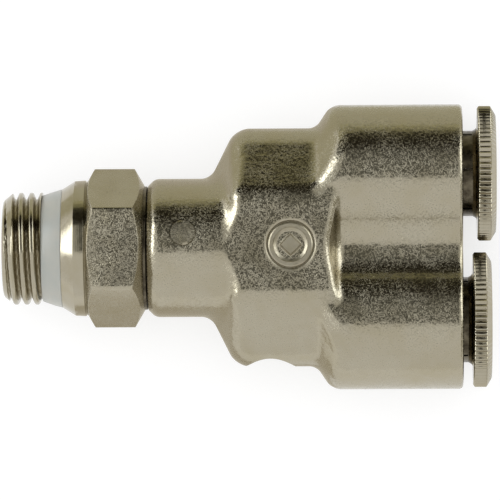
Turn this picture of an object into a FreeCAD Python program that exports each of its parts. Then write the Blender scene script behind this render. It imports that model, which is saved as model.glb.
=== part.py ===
"""Swivel male Y push-in fitting for two 6 mm tubes, with a G1/8 male thread.

Millimetres. +X runs along the thread and swivel axis, from the thread's tip
towards the tube ports. +Y runs from the lower port to the upper port. +Z is up
when the fitting lies on its forged flat. The origin is on the thread's axis, at
the thread's inner end, where the seal ring starts.
"""
import FreeCAD, Part
import math
import os
import Sketcher

ORIGIN = FreeCAD.Vector(0, 0, 0)
AXIS_X = FreeCAD.Vector(1, 0, 0)
AXIS_Y = FreeCAD.Vector(0, 1, 0)

doc = FreeCAD.newDocument("swivel_y_fitting")

# ---------------------------------------------------------------- sizes
SIZES = {
    # G1/8 thread and its tip
    "thread_crest_radius": 4.864,
    "thread_root_radius": 4.283,
    "thread_pitch": 0.907,
    "thread_flat": 0.15,
    "thread_tip": -3.39,
    "thread_tip_radius": 4.15,
    "thread_lead": 0.20,
    # pre-fitted thread seal
    "seal_length": 1.74,
    "seal_seat_radius": 4.10,
    "seal_small_radius": 4.62,
    "seal_large_radius": 5.15,
    # collar, hexagon and washer face
    "collar_cone_end": 2.84,
    "collar_radius": 5.90,
    "collar_groove": 3.84,
    "groove_depth": 0.17,
    "hex_start": 3.98,
    "hex_end": 8.84,
    "hex_flats": 12.0,
    "hex_face_radius": 5.40,
    "washer_radius": 5.35,
    "washer_end": 9.07,
    # spigot that turns inside the body
    "spigot_radius": 4.00,
    "spigot_end": 18.00,
    "spigot_chamfer": 0.40,
    "pin_groove_width": 2.50,
    "pin_groove_radius": 3.45,
    "ring_groove_start": 15.10,
    "ring_groove_width": 1.50,
    "ring_groove_radius": 3.15,
    "stem_bore_radius": 2.30,
    # swivel seal, squeezed between groove and bore
    "swivel_ring_inner": 3.16,
    "swivel_ring_radius": 4.02,
    "swivel_ring_start": 15.29,
    "swivel_ring_width": 1.12,
    "swivel_ring_ease": 0.28,
    # neck and swivel bore of the body
    "neck_start": 9.13,
    "neck_radius": 6.00,
    "neck_chamfer": 0.65,
    "neck_end": 17.00,
    "swivel_bore_radius": 4.05,
    "swivel_bore_end": 18.60,
    "pin_station": 12.30,
    "pin_radius": 1.15,
    "pin_inner": 3.55,
    "pin_outer": 5.90,
    "pin_bevel": 0.12,
    "pin_angle": 13.0,
    # forged block between neck and ports
    "half_thickness": 6.00,
    "block_flat": 4.60,
    "block_facet": 36.0,
    "block_half_width": 10.33,
    "nose_start": 14.58,
    "nose_middle": 15.05,
    "nose_slope": 2.00,
    "nose_side_radius": 0.05,
    "block_start": 16.75,
    "shoulder_start": 23.70,
    "shoulder_slope": 1.50,
    "valley_slope": 3.00,
    "valley_foot": 25.60,
    "valley_rise": 1.20,
    # twin ports
    "port_offset": 6.34,
    "port_radius": 6.00,
    "port_valley_radius": 3.75,
    "port_end": 36.41,
    "port_edge": 0.35,
    # forging radii
    "shoulder_round": 0.75,
    "block_round": 1.10,
    "crest_round": 0.80,
    # drillings
    "tube_radius": 3.05,
    "tube_stop": 22.50,
    "seal_seat": 28.60,
    "cartridge_radius": 4.90,
    "port_flow_radius": 2.00,
    "cross_station": 19.74,
    "cross_radius": 2.16,
    "cross_end": 8.00,
    "drill_overrun": 1.00,
    # dished plug in the mouth of the cross drilling
    "plug_inner": 8.45,
    "plug_outer": 9.55,
    "plug_bevel": 0.15,
    "dish_floor": 8.95,
    "dish_knee": 9.10,
    "dish_knee_radius": 1.05,
    "dish_radius": 1.45,
    # play on the radius of every pressed piece
    "press_clearance": 0.005,
    # sunk ring that frames the badge
    "badge_station": 21.57,
    "badge_side": 0.25,
    "badge_radius": 2.22,
    "badge_line": 0.22,
    "badge_depth": 0.20,
    # tube seal and its washer
    "tube_ring_centre": 3.89,
    "tube_ring_section": 0.99,
    "tube_ring_station": 29.60,
    "spacer_start": 30.75,
    "spacer_end": 31.95,
    "spacer_bore": 3.10,
    "spacer_radius": 4.88,
    "spacer_bevel": 0.20,
    # cone bush
    "bush_start": 34.10,
    "bush_small_radius": 3.82,
    "bush_cone_radius": 4.58,
    "bush_cone_end": 35.07,
    "bush_lead": 0.25,
    "bush_bevel": 0.10,
    # collet, upper one at rest
    "collet_tip": 33.25,
    "collet_bevel": 0.30,
    "collet_head_radius": 4.40,
    "collet_cone_start": 34.20,
    "collet_cone_end": 35.10,
    "collet_neck_radius": 3.70,
    "collet_bore": 3.10,
    "tooth_radius": 2.88,
    "tooth_start": 33.45,
    "tooth_width": 0.40,
    "tooth_face": 0.10,
    "release_start": 37.70,
    "release_thickness": 1.60,
    "release_radius": 5.84,
    "release_chamfer": 0.45,
    "release_back_bevel": 0.15,
    "release_mouth": 0.50,
    "release_face_radius": 5.04,
    "release_fillet": 0.40,
    "slot_inner": 0.50,
    "slot_overrun": 0.50,
    "slot_width": 0.25,
    "slot_to_release": 0.45,
    "slot_angle": 26.0,
    "lower_collet_shift": -0.42,
}
THREAD_RIDGES = 4
COLLET_SLOTS = 6
ROOT_3 = math.sqrt(3)
TAN_30 = math.tan(math.radians(30))
# half the side of a box that holds the whole fitting
REACH = 60.0
# how near an edge must be to a plane, or to the crest, to count as lying there
IN_PLANE = 0.01
CREST_CLOSE = 0.03

sheet = doc.addObject("Spreadsheet::Sheet", "sizes")
for row, (alias, value) in enumerate(SIZES.items(), start=1):
    sheet.set("A%d" % row, alias)
    sheet.set("B%d" % row, str(value))
    sheet.setAlias("B%d" % row, alias)
doc.recompute()


def size(alias):
    """The value of one cell of the sheet."""
    return float(sheet.get(alias))


# ---------------------------------------------------------------- shared builders
def origin_plane(body, role):
    """The body's own origin plane or axis with this role."""
    for feature in body.Origin.OriginFeatures:
        if feature.Role == role:
            return feature
    raise ValueError(role)


def new_body(label):
    body = doc.addObject("PartDesign::Body", label)
    body.Label = label
    return body


def new_sketch(body, role, name):
    sketch = body.newObject("Sketcher::SketchObject", name)
    sketch.AttachmentSupport = [(origin_plane(body, role), "")]
    sketch.MapMode = "FlatFace"
    return sketch


def bind_point(sketch, edge, name, along, across):
    """Ties the start of an edge to two expressions measured from the origin."""
    for direction, expression in (("X", along), ("Y", across)):
        index = sketch.addConstraint(
            Sketcher.Constraint("Distance" + direction, -1, 1, edge, 1, 1.0))
        constraint = "%s_%s" % (name, direction.lower())
        sketch.renameConstraint(index, constraint)
        sketch.setExpression("Constraints." + constraint, expression)


def value_of(expression):
    """The number that a sheet expression gives, used to place sketch points first."""
    names = dict((alias, size(alias)) for alias in SIZES)
    value = expression
    for alias in sorted(names, key=len, reverse=True):
        value = value.replace("sizes." + alias, repr(names[alias]))
    return float(FreeCAD.Units.Quantity("(%s)" % value).Value)


def closed_outline(sketch, points):
    """A closed polygon whose corners are (along, across) expression pairs."""
    corners = [FreeCAD.Vector(value_of(along), value_of(across), 0)
               for along, across in points]
    count = len(corners)
    for index in range(count):
        segment = Part.LineSegment(corners[index], corners[(index + 1) % count])
        sketch.addGeometry(segment, False)
    for index in range(count):
        sketch.addConstraint(
            Sketcher.Constraint("Coincident", index, 2, (index + 1) % count, 1))
    for index, (along, across) in enumerate(points):
        bind_point(sketch, index, "corner%d" % index, along, across)


def turned_body(label, points):
    """A piece turned about X from a closed half outline."""
    body = new_body(label)
    outline = new_sketch(body, "XY_Plane", label + "_outline")
    closed_outline(outline, points)
    turned = body.newObject("PartDesign::Revolution", label + "_turned")
    turned.Profile = outline
    turned.ReferenceAxis = (outline, ["H_Axis"])
    turned.Angle = 360.0
    doc.recompute()
    return body


# ---------------------------------------------------------------- swivel stem
def thread_outline():
    """Ridges at the thread's pitch, from the tip's chamfer to the seal ring."""
    root = "sizes.thread_root_radius"
    crest = "sizes.thread_crest_radius"
    points = [("sizes.thread_tip", "sizes.thread_tip_radius")]
    points.append(("sizes.thread_tip + sizes.thread_lead", root))
    flat = "sizes.thread_flat"
    flank = "(sizes.thread_pitch - 2 * sizes.thread_flat) / 2"
    for ridge in reversed(range(THREAD_RIDGES)):
        crest_end = "-%d * sizes.thread_pitch" % ridge
        if ridge < THREAD_RIDGES - 1:
            points.append(("%s - %s - %s" % (crest_end, flat, flank), root))
        else:
            points.append(("%s - %s - sizes.thread_lead" % (crest_end, flat), root))
        points.append(("%s - %s" % (crest_end, flat), crest))
        points.append((crest_end, crest))
        if ridge:
            points.append(("%s + %s" % (crest_end, flank), root))
    return points


def build_stem():
    seat = "sizes.seal_seat_radius"
    collar = "sizes.collar_radius"
    corner = "sizes.hex_flats / %.7f" % ROOT_3
    spigot = "sizes.spigot_radius"
    start_bevel = "(%s - %s) * %.7f" % (corner, collar, TAN_30)
    end_bevel = "(%s - sizes.hex_face_radius) * %.7f" % (corner, TAN_30)
    pin_half = "sizes.pin_groove_width / 2"
    ring_end = "sizes.ring_groove_start + sizes.ring_groove_width"
    points = [("sizes.thread_tip", "sizes.stem_bore_radius")]
    points += thread_outline()
    points += [
        ("0.0", seat),
        ("sizes.seal_length", seat),
        ("sizes.seal_length", "sizes.seal_large_radius"),
        ("sizes.collar_cone_end", collar),
        ("sizes.collar_groove - sizes.groove_depth / 2", collar),
        ("sizes.collar_groove", "%s - sizes.groove_depth" % collar),
        ("sizes.hex_start", collar),
        ("sizes.hex_start + %s" % start_bevel, corner),
        ("sizes.hex_end - %s" % end_bevel, corner),
        ("sizes.hex_end", "sizes.hex_face_radius"),
        ("sizes.hex_end", "sizes.washer_radius"),
        ("sizes.washer_end", "sizes.washer_radius"),
        ("sizes.washer_end", spigot),
        ("sizes.pin_station - %s" % pin_half, spigot),
        ("sizes.pin_station - %s" % pin_half, "sizes.pin_groove_radius"),
        ("sizes.pin_station + %s" % pin_half, "sizes.pin_groove_radius"),
        ("sizes.pin_station + %s" % pin_half, spigot),
        ("sizes.ring_groove_start", spigot),
        ("sizes.ring_groove_start", "sizes.ring_groove_radius"),
        (ring_end, "sizes.ring_groove_radius"),
        (ring_end, spigot),
        ("sizes.spigot_end - sizes.spigot_chamfer", spigot),
        ("sizes.spigot_end", "%s - sizes.spigot_chamfer" % spigot),
        ("sizes.spigot_end", "sizes.stem_bore_radius"),
    ]
    stem = turned_body("swivel_stem", points)
    turned_volume = stem.Shape.Volume
    cut_hexagon(stem)
    if stem.Shape.Volume >= turned_volume:
        raise ValueError("the hexagon's flats were not cut")
    return stem


def cut_hexagon(stem):
    """Mills six flats, two of them facing up and down."""
    outline = new_sketch(stem, "YZ_Plane", "hexagon")
    middle = (size("hex_start") + size("hex_end")) / 2
    outline.AttachmentOffset = FreeCAD.Placement(
        FreeCAD.Vector(0, 0, middle), FreeCAD.Rotation())
    outline.setExpression(
        "AttachmentOffset.Base.z", "(sizes.hex_start + sizes.hex_end) / 2")
    wide = "sizes.hex_flats / %.7f" % ROOT_3
    narrow = "sizes.hex_flats / %.7f" % (2 * ROOT_3)
    tall = "sizes.hex_flats / 2"
    corners = [(wide, "0.0"), (narrow, tall), ("-" + narrow, tall),
               ("-" + wide, "0.0"), ("-" + narrow, "-" + tall), (narrow, "-" + tall)]
    closed_outline(outline, corners)
    outline.addGeometry(
        Part.Circle(ORIGIN, FreeCAD.Vector(0, 0, 1), size("hex_flats")), False)
    flats = stem.newObject("PartDesign::Pocket", "hexagon_flats")
    flats.Profile = outline
    flats.Midplane = True
    flats.setExpression("Length", "sizes.hex_end - sizes.hex_start")
    stem.Tip = flats
    doc.recompute()


# ---------------------------------------------------------------- forged outer shape
def block_section(x, grown=0.0):
    """Eight-sided block section: flats up and down, facets, and round sides."""
    facet = math.radians(size("block_facet"))
    lean = math.sin(facet)
    to_facet = size("block_flat") * lean + size("half_thickness") * math.cos(facet)
    side_radius = (to_facet - size("block_half_width") * lean) / (1 - lean)
    radius = max(side_radius + grown, size("nose_side_radius"))
    centre = (to_facet + grown - radius) / lean
    height = size("half_thickness") + grown
    flat = size("block_flat") + grown * math.tan(facet / 2)
    edge_y = centre + radius * math.sin(facet)
    edge_z = radius * math.cos(facet)

    def at(y, z):
        return FreeCAD.Vector(x, y, z)

    edges = []
    for side in (1, -1):
        edges.append(Part.LineSegment(at(-side * flat, side * height),
                                      at(side * flat, side * height)))
        edges.append(Part.LineSegment(at(side * flat, side * height),
                                      at(side * edge_y, side * edge_z)))
        edges.append(Part.Arc(at(side * edge_y, side * edge_z),
                              at(side * (centre + radius), 0),
                              at(side * edge_y, -side * edge_z)))
        edges.append(Part.LineSegment(at(side * edge_y, -side * edge_z),
                                      at(side * flat, -side * height)))
    return Part.Wire([edge.toShape() for edge in edges])


def port_section(x, grown=0.0):
    """Two port circles joined by a hollow valley arc above and below."""
    offset = size("port_offset")
    radius = size("port_radius") + grown
    valley = size("port_valley_radius") - grown
    lean = offset / (radius + valley)
    upright = math.sqrt(1 - lean * lean)
    joint_y = offset - radius * lean
    joint_z = radius * upright
    floor = (radius + valley) * upright - valley

    def at(y, z):
        return FreeCAD.Vector(x, y, z)

    edges = []
    for side in (1, -1):
        edges.append(Part.Arc(at(side * joint_y, side * joint_z),
                              at(side * (offset + radius), 0),
                              at(side * joint_y, -side * joint_z)))
        edges.append(Part.Arc(at(side * joint_y, -side * joint_z),
                              at(0, -side * floor),
                              at(-side * joint_y, -side * joint_z)))
    return Part.Wire([edge.toShape() for edge in edges])


def ruled(sections):
    return Part.makeLoft(sections, True, True)


def forged_shape():
    """Neck, flared nose, block and twin ports as one solid, before drilling."""
    start = size("neck_start")
    chamfer = size("neck_chamfer")
    radius = size("neck_radius")
    lead = Part.makeCone(radius - chamfer, radius, chamfer,
                         FreeCAD.Vector(start, 0, 0), AXIS_X)
    neck = Part.makeCylinder(radius, size("neck_end") - start - chamfer,
                             FreeCAD.Vector(start + chamfer, 0, 0), AXIS_X)
    block_start = size("block_start")
    nose = ruled([block_section(x, (x - block_start) * size("nose_slope"))
                  for x in (size("nose_start"), size("nose_middle"), block_start)])

    foot = size("valley_foot")
    slope = size("valley_slope")
    block = Part.Face(block_section(block_start)).extrude(AXIS_X * (foot - block_start))
    rise = size("valley_rise")
    valley_top = ruled([port_section(foot), port_section(foot - rise, rise * slope)])
    ahead = Part.makeBox(foot - rise, REACH, REACH,
                         FreeCAD.Vector(0, -REACH / 2, -REACH / 2))
    block = block.common(valley_top.fuse(ahead))

    shoulder = size("shoulder_start")
    run = size("port_end") - shoulder
    ports = Part.Face(port_section(shoulder)).extrude(AXIS_X * run)
    flare = ruled([block_section(shoulder),
                   block_section(shoulder + run, run * size("shoulder_slope"))])
    ports = ports.common(flare)
    whole = lead.fuse([neck, nose, block, ports]).removeSplitter()
    return whole.Solids[0]


def edges_across(shape, x, beyond=0.0):
    """Edges that lie in one plane across X and reach past this distance in Y."""
    found = []
    for edge in shape.Edges:
        box = edge.BoundBox
        flat = abs(box.XMin - x) < IN_PLANE and abs(box.XMax - x) < IN_PLANE
        if flat and max(abs(box.YMin), abs(box.YMax)) > beyond:
            found.append(edge)
    return found


def crest_edges(shape):
    """The two outer edges where the flared shoulders reach the ports' sides."""
    width = size("port_offset") + size("port_radius")
    rise = width - size("block_half_width")
    crest = size("shoulder_start") + rise / size("shoulder_slope")
    found = []
    for edge in shape.Edges:
        box = edge.BoundBox
        outermost = max(abs(box.YMin), abs(box.YMax)) > width - IN_PLANE
        if outermost and abs(box.XMin - crest) < CREST_CLOSE:
            found.append(edge)
    return found


def soften(shape):
    """Rounds the port ends and the forging's broad shoulders."""
    shape = shape.makeFillet(size("port_edge"), edges_across(shape, size("port_end")))
    shape = shape.makeFillet(
        size("shoulder_round"), edges_across(shape, size("shoulder_start")))
    corners = edges_across(shape, size("block_start"), size("block_flat") + IN_PLANE)
    shape = shape.makeFillet(size("block_round"), corners)
    shape = shape.makeFillet(size("crest_round"), crest_edges(shape))
    return shape.Solids[0]


# ---------------------------------------------------------------- drilled body
def drill(name, radius, depth, start, direction):
    """A cylinder bound to the sheet, used as a drill."""
    tool = doc.addObject("Part::Cylinder", name)
    tool.setExpression("Radius", "sizes." + radius)
    tool.setExpression("Height", depth)
    rotation = FreeCAD.Rotation(FreeCAD.Vector(0, 0, 1), direction)
    tool.Placement = FreeCAD.Placement(start, rotation)
    return tool


def along_x(name, radius, x_from, x_to, y=0.0):
    """A drill along X between two sheet values."""
    start = FreeCAD.Vector(size(x_from), y, 0)
    depth = "sizes.%s - sizes.%s" % (x_to, x_from)
    return drill(name, radius, depth, start, AXIS_X)


def pin_direction(turn):
    angle = math.radians(size("pin_angle") + turn)
    return FreeCAD.Vector(0, math.sin(angle), math.cos(angle))


def build_body():
    forging = doc.addObject("Part::Feature", "forging")
    forging.Shape = soften(forged_shape())

    tools = [
        along_x("swivel_bore", "swivel_bore_radius", "neck_start", "swivel_bore_end"),
        along_x("stem_flow_bore", "stem_bore_radius", "spigot_end", "cross_station"),
    ]
    for side, name in ((1, "upper"), (-1, "lower")):
        y = side * size("port_offset")
        tools.append(along_x("flow_bore_" + name, "port_flow_radius",
                             "cross_station", "tube_stop", y))
        tools.append(along_x("tube_bore_" + name, "tube_radius",
                             "tube_stop", "seal_seat", y))
        tools.append(along_x("cartridge_bore_" + name, "cartridge_radius",
                             "seal_seat", "port_end", y))
    cross_start = FreeCAD.Vector(size("cross_station"), size("cross_end"), 0)
    cross_depth = "sizes.cross_end + sizes.port_offset + sizes.port_radius"
    tools.append(drill("cross_bore", "cross_radius", cross_depth, cross_start, -AXIS_Y))
    pin_start = FreeCAD.Vector(size("pin_station"), 0, 0)
    for turn, name in ((0, "front"), (180, "rear")):
        tools.append(drill("pin_hole_" + name, "pin_radius",
                           "sizes.neck_radius + sizes.drill_overrun",
                           pin_start, pin_direction(turn)))
    tools.append(badge_groove())

    drills = doc.addObject("Part::MultiFuse", "drills")
    drills.Shapes = tools
    body = doc.addObject("Part::Cut", "y_body")
    body.Base = forging
    body.Tool = drills
    body.Label = "y_body"
    doc.recompute()
    return body


def badge_groove():
    """A plain sunk ring on the block's upper flat."""
    outer = size("badge_radius")
    height = size("badge_depth") + size("drill_overrun")
    base = FreeCAD.Vector(size("badge_station"), size("badge_side"),
                          size("half_thickness") - size("badge_depth"))
    up = FreeCAD.Vector(0, 0, 1)
    groove = doc.addObject("Part::Feature", "badge_groove")
    disc = Part.makeCylinder(outer, height, base, up)
    island = Part.makeCylinder(outer - size("badge_line"), height, base, up)
    groove.Shape = disc.cut(island)
    return groove


# ---------------------------------------------------------------- pins and plug
def build_pin(label, turn):
    """A pressed pin whose inner end runs in the stem's groove."""
    body = new_body(label)
    outline = new_sketch(body, "XY_Plane", label + "_outline")
    bevel = "sizes.pin_bevel"
    radius = "(sizes.pin_radius - sizes.press_clearance)"
    points = [
        ("sizes.pin_inner", "0.0"),
        ("sizes.pin_outer", "0.0"),
        ("sizes.pin_outer", "%s - %s" % (radius, bevel)),
        ("sizes.pin_outer - %s" % bevel, radius),
        ("sizes.pin_inner + %s" % bevel, radius),
        ("sizes.pin_inner", "%s - %s" % (radius, bevel)),
    ]
    closed_outline(outline, points)
    turned = body.newObject("PartDesign::Revolution", label + "_turned")
    turned.Profile = outline
    turned.ReferenceAxis = (outline, ["H_Axis"])
    turned.Angle = 360.0
    body.Placement = FreeCAD.Placement(
        FreeCAD.Vector(size("pin_station"), 0, 0),
        FreeCAD.Rotation(AXIS_X, pin_direction(turn)))
    doc.recompute()
    return body


def build_plug():
    """A dished plug pressed into the mouth of the cross drilling."""
    label = "cross_bore_plug"
    radius = "(sizes.cross_radius - sizes.press_clearance)"
    inner = "sizes.plug_inner"
    outer = "sizes.plug_outer"
    bevel = "sizes.plug_bevel"
    points = [
        (inner, "0.0"),
        ("sizes.dish_floor", "0.0"),
        ("sizes.dish_knee", "sizes.dish_knee_radius"),
        (outer, "sizes.dish_radius"),
        (outer, "%s - %s" % (radius, bevel)),
        ("%s - %s" % (outer, bevel), radius),
        ("%s + %s" % (inner, bevel), radius),
        (inner, "%s - %s" % (radius, bevel)),
    ]
    plug = turned_body(label, points)
    plug.Placement = FreeCAD.Placement(
        FreeCAD.Vector(size("cross_station"), 0, 0),
        FreeCAD.Rotation(AXIS_X, -AXIS_Y))
    return plug


# ---------------------------------------------------------------- seals
def build_swivel_ring():
    """The swivel's O-ring as it sits squeezed between its groove and the bore."""
    inner = "sizes.swivel_ring_inner"
    outer = "sizes.swivel_ring_radius"
    start = "sizes.swivel_ring_start"
    width = "sizes.swivel_ring_width"
    ease = "sizes.swivel_ring_ease"
    points = [
        ("%s + %s" % (start, ease), inner),
        ("%s + %s - %s" % (start, width, ease), inner),
        ("%s + %s" % (start, width), "%s + %s" % (inner, ease)),
        ("%s + %s" % (start, width), "%s - %s" % (outer, ease)),
        ("%s + %s - %s" % (start, width, ease), outer),
        ("%s + %s" % (start, ease), outer),
        (start, "%s - %s" % (outer, ease)),
        (start, "%s + %s" % (inner, ease)),
    ]
    return turned_body("swivel_o_ring", points)


def build_thread_seal():
    points = [
        ("0.0", "sizes.seal_seat_radius"),
        ("0.0", "sizes.seal_small_radius"),
        ("sizes.seal_length", "sizes.seal_large_radius"),
        ("sizes.seal_length", "sizes.seal_seat_radius"),
    ]
    return turned_body("thread_seal_ring", points)


def build_tube_ring(label, side):
    ring = doc.addObject("Part::Torus", label)
    ring.Label = label
    ring.setExpression("Radius1", "sizes.tube_ring_centre")
    ring.setExpression("Radius2", "sizes.tube_ring_section")
    ring.Placement = FreeCAD.Placement(
        FreeCAD.Vector(size("tube_ring_station"), side * size("port_offset"), 0),
        FreeCAD.Rotation(FreeCAD.Vector(0, 0, 1), AXIS_X))
    doc.recompute()
    return ring


# ---------------------------------------------------------------- port cartridge
def at_port(body, side, shift=0.0, roll=0.0):
    """Moves a piece turned on the X axis to one port's axis."""
    body.Placement = FreeCAD.Placement(
        FreeCAD.Vector(shift, side * size("port_offset"), 0),
        FreeCAD.Rotation(AXIS_X, roll))
    return body


def build_spacer(label, side):
    edge = "sizes.spacer_bevel"
    points = [
        ("sizes.spacer_start", "sizes.spacer_bore"),
        ("sizes.spacer_start", "sizes.spacer_radius"),
        ("sizes.spacer_end", "sizes.spacer_radius"),
        ("sizes.spacer_end", "sizes.spacer_bore + " + edge),
        ("sizes.spacer_end - " + edge, "sizes.spacer_bore"),
    ]
    return at_port(turned_body(label, points), side)


def build_bush(label, side):
    outer = "(sizes.cartridge_radius - sizes.press_clearance)"
    lead = "sizes.bush_lead"
    bevel = "sizes.bush_bevel"
    points = [
        ("sizes.bush_start", "sizes.bush_cone_radius"),
        ("sizes.bush_start", "%s - %s" % (outer, bevel)),
        ("sizes.bush_start + " + bevel, outer),
        ("sizes.port_end", outer),
        ("sizes.port_end", "sizes.bush_small_radius + " + lead),
        ("sizes.port_end - " + lead, "sizes.bush_small_radius"),
        ("sizes.bush_cone_end", "sizes.bush_small_radius"),
    ]
    return at_port(turned_body(label, points), side)


def build_collet(label, side, shift):
    """Knurled release ring, slotted neck and gripping fingers in one piece."""
    neck = "sizes.collet_neck_radius"
    bore = "sizes.collet_bore"
    ring_start = "sizes.release_start"
    ring_end = "(sizes.release_start + sizes.release_thickness)"
    ring = "sizes.release_radius"
    tooth_end = "sizes.tooth_start + sizes.tooth_width"
    points = [
        ("sizes.collet_tip", bore),
        ("sizes.collet_tip", "sizes.collet_head_radius - sizes.collet_bevel"),
        ("sizes.collet_tip + sizes.collet_bevel", "sizes.collet_head_radius"),
        ("sizes.collet_cone_start", "sizes.collet_head_radius"),
        ("sizes.collet_cone_end", neck),
        (ring_start + " - sizes.release_fillet", neck),
        (ring_start, neck + " + sizes.release_fillet"),
        (ring_start, ring + " - sizes.release_back_bevel"),
        (ring_start + " + sizes.release_back_bevel", ring),
        (ring_end + " - sizes.release_chamfer", ring),
        (ring_end, "sizes.release_face_radius"),
        (ring_end, bore + " + sizes.release_mouth"),
        (ring_end + " - sizes.release_mouth", bore),
        (tooth_end, bore),
        ("sizes.tooth_start + sizes.tooth_face", "sizes.tooth_radius"),
        ("sizes.tooth_start", bore),
    ]
    collet = turned_body(label, points)
    cut_slots(collet, label)
    return at_port(collet, side, shift, size("slot_angle"))


def cut_slots(collet, label):
    """Saw cuts that free the fingers and end just short of the release ring."""
    outline = new_sketch(collet, "XY_Plane", label + "_slot")
    inner = "sizes.slot_inner"
    outer = "(sizes.collet_head_radius + sizes.slot_overrun)"
    start = "(sizes.collet_tip - sizes.slot_overrun)"
    end = "(sizes.release_start - sizes.slot_to_release)"
    closed_outline(outline, [(start, inner), (end, inner), (end, outer), (start, outer)])
    slot = collet.newObject("PartDesign::Pocket", label + "_slot_cut")
    slot.Profile = outline
    slot.Midplane = True
    slot.setExpression("Length", "sizes.slot_width")
    doc.recompute()
    pattern = collet.newObject("PartDesign::PolarPattern", label + "_slots")
    pattern.Originals = [slot]
    pattern.Axis = (outline, ["H_Axis"])
    pattern.Angle = 360.0
    pattern.Occurrences = COLLET_SLOTS
    collet.Tip = pattern
    doc.recompute()


# ---------------------------------------------------------------- assembly
pieces = [
    build_stem(),
    build_thread_seal(),
    build_swivel_ring(),
    build_body(),
    build_plug(),
    build_pin("retaining_pin_front", 0),
    build_pin("retaining_pin_rear", 180),
]
for port_name, port_side, collet_shift in (
        ("upper", 1, 0.0), ("lower", -1, size("lower_collet_shift"))):
    pieces.append(build_tube_ring("tube_o_ring_" + port_name, port_side))
    pieces.append(build_spacer("seal_spacer_" + port_name, port_side))
    pieces.append(build_bush("cone_bush_" + port_name, port_side))
    pieces.append(build_collet("collet_" + port_name, port_side, collet_shift))
doc.recompute()

for item in doc.Objects:
    if "Invalid" in item.State or "Error" in item.State:
        raise RuntimeError("%s is %s" % (item.Label, item.State))
for piece in pieces:
    if piece.Shape.isNull() or not piece.Shape.isValid():
        raise RuntimeError("%s has no valid shape" % piece.Label)
    if len(piece.Shape.Solids) != 1:
        raise RuntimeError("%s has %d solids" % (piece.Label, len(piece.Shape.Solids)))

os.makedirs("parts", exist_ok=True)
for piece in pieces:
    piece.Shape.exportStep("parts/%s.step" % piece.Label)
    box = piece.Shape.BoundBox
    print("%-20s volume %8.2f  x %.2f..%.2f" % (
        piece.Label, piece.Shape.Volume, box.XMin, box.XMax))
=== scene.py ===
"""Looks of the swivel Y push-in fitting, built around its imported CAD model.

Shapes are worked out in millimetres on the part's own axes, with X along the thread
and the two ports side by side in Y, and turned into metres when a mesh is made.
"""
import math
import bpy
import numpy as np
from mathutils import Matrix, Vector


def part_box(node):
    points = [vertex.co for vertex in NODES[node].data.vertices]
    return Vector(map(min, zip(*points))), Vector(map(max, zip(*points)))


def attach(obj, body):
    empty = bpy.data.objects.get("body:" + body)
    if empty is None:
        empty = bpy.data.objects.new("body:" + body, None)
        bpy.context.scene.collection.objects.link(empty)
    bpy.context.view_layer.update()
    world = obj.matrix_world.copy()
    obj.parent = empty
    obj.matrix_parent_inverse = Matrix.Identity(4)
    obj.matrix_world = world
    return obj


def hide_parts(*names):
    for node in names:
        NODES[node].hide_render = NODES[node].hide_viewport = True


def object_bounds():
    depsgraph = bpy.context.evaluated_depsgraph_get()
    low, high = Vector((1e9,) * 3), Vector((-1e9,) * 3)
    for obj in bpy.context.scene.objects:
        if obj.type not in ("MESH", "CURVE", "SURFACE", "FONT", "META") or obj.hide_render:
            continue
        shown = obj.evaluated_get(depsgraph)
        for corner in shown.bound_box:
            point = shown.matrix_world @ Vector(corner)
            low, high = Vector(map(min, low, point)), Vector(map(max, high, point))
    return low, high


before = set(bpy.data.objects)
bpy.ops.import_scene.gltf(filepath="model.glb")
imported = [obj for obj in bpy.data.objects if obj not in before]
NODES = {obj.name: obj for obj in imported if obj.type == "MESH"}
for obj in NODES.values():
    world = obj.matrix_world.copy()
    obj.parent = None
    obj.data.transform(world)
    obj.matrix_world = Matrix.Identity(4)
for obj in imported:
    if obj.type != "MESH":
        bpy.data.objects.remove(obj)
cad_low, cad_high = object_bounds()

MM = 0.001


# ---------------------------------------------------------------- main sizes
def box_mm(node):
    low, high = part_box(node)
    return np.array(low) / MM, np.array(high) / MM


# measured on the CAD nodes, apart from the ports' radius
stem_low = box_mm("swivel_stem")[0]
body_low, body_high = box_mm("y_body")
seal_low, seal_high = box_mm("thread_seal_ring")
PORT_RADIUS = 6.0
PORT_Y = (body_high[1] - body_low[1]) / 2 - PORT_RADIUS
FLOOR_Z = cad_low[2]


# ---------------------------------------------------------------- mesh helpers
def link_mesh(name, points_mm, faces):
    """A mesh object from millimetre points and index faces."""
    mesh = bpy.data.meshes.new(name)
    mesh.from_pydata((np.asarray(points_mm) * MM).tolist(), [], faces)
    mesh.validate()
    mesh.update()
    piece = bpy.data.objects.new(name, mesh)
    bpy.context.scene.collection.objects.link(piece)
    return piece


def smooth(piece, sharp_degrees=32.0):
    """Smooth shading with the hard edges kept."""
    mesh = piece.data
    mesh.shade_smooth()
    mesh.set_sharp_from_angle(angle=math.radians(sharp_degrees))
    return piece


def ring_faces(rings, around):
    """Quads of a closed tube: rings of points, each joined to the next and back."""
    ring = np.arange(rings)[:, None]
    step = np.arange(around)[None, :]
    next_ring = (ring + 1) % rings
    next_step = (step + 1) % around
    quads = np.stack([
        ring * around + step,
        next_ring * around + step,
        next_ring * around + next_step,
        ring * around + next_step], axis=-1)
    return quads.reshape(-1, 4).tolist()


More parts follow.
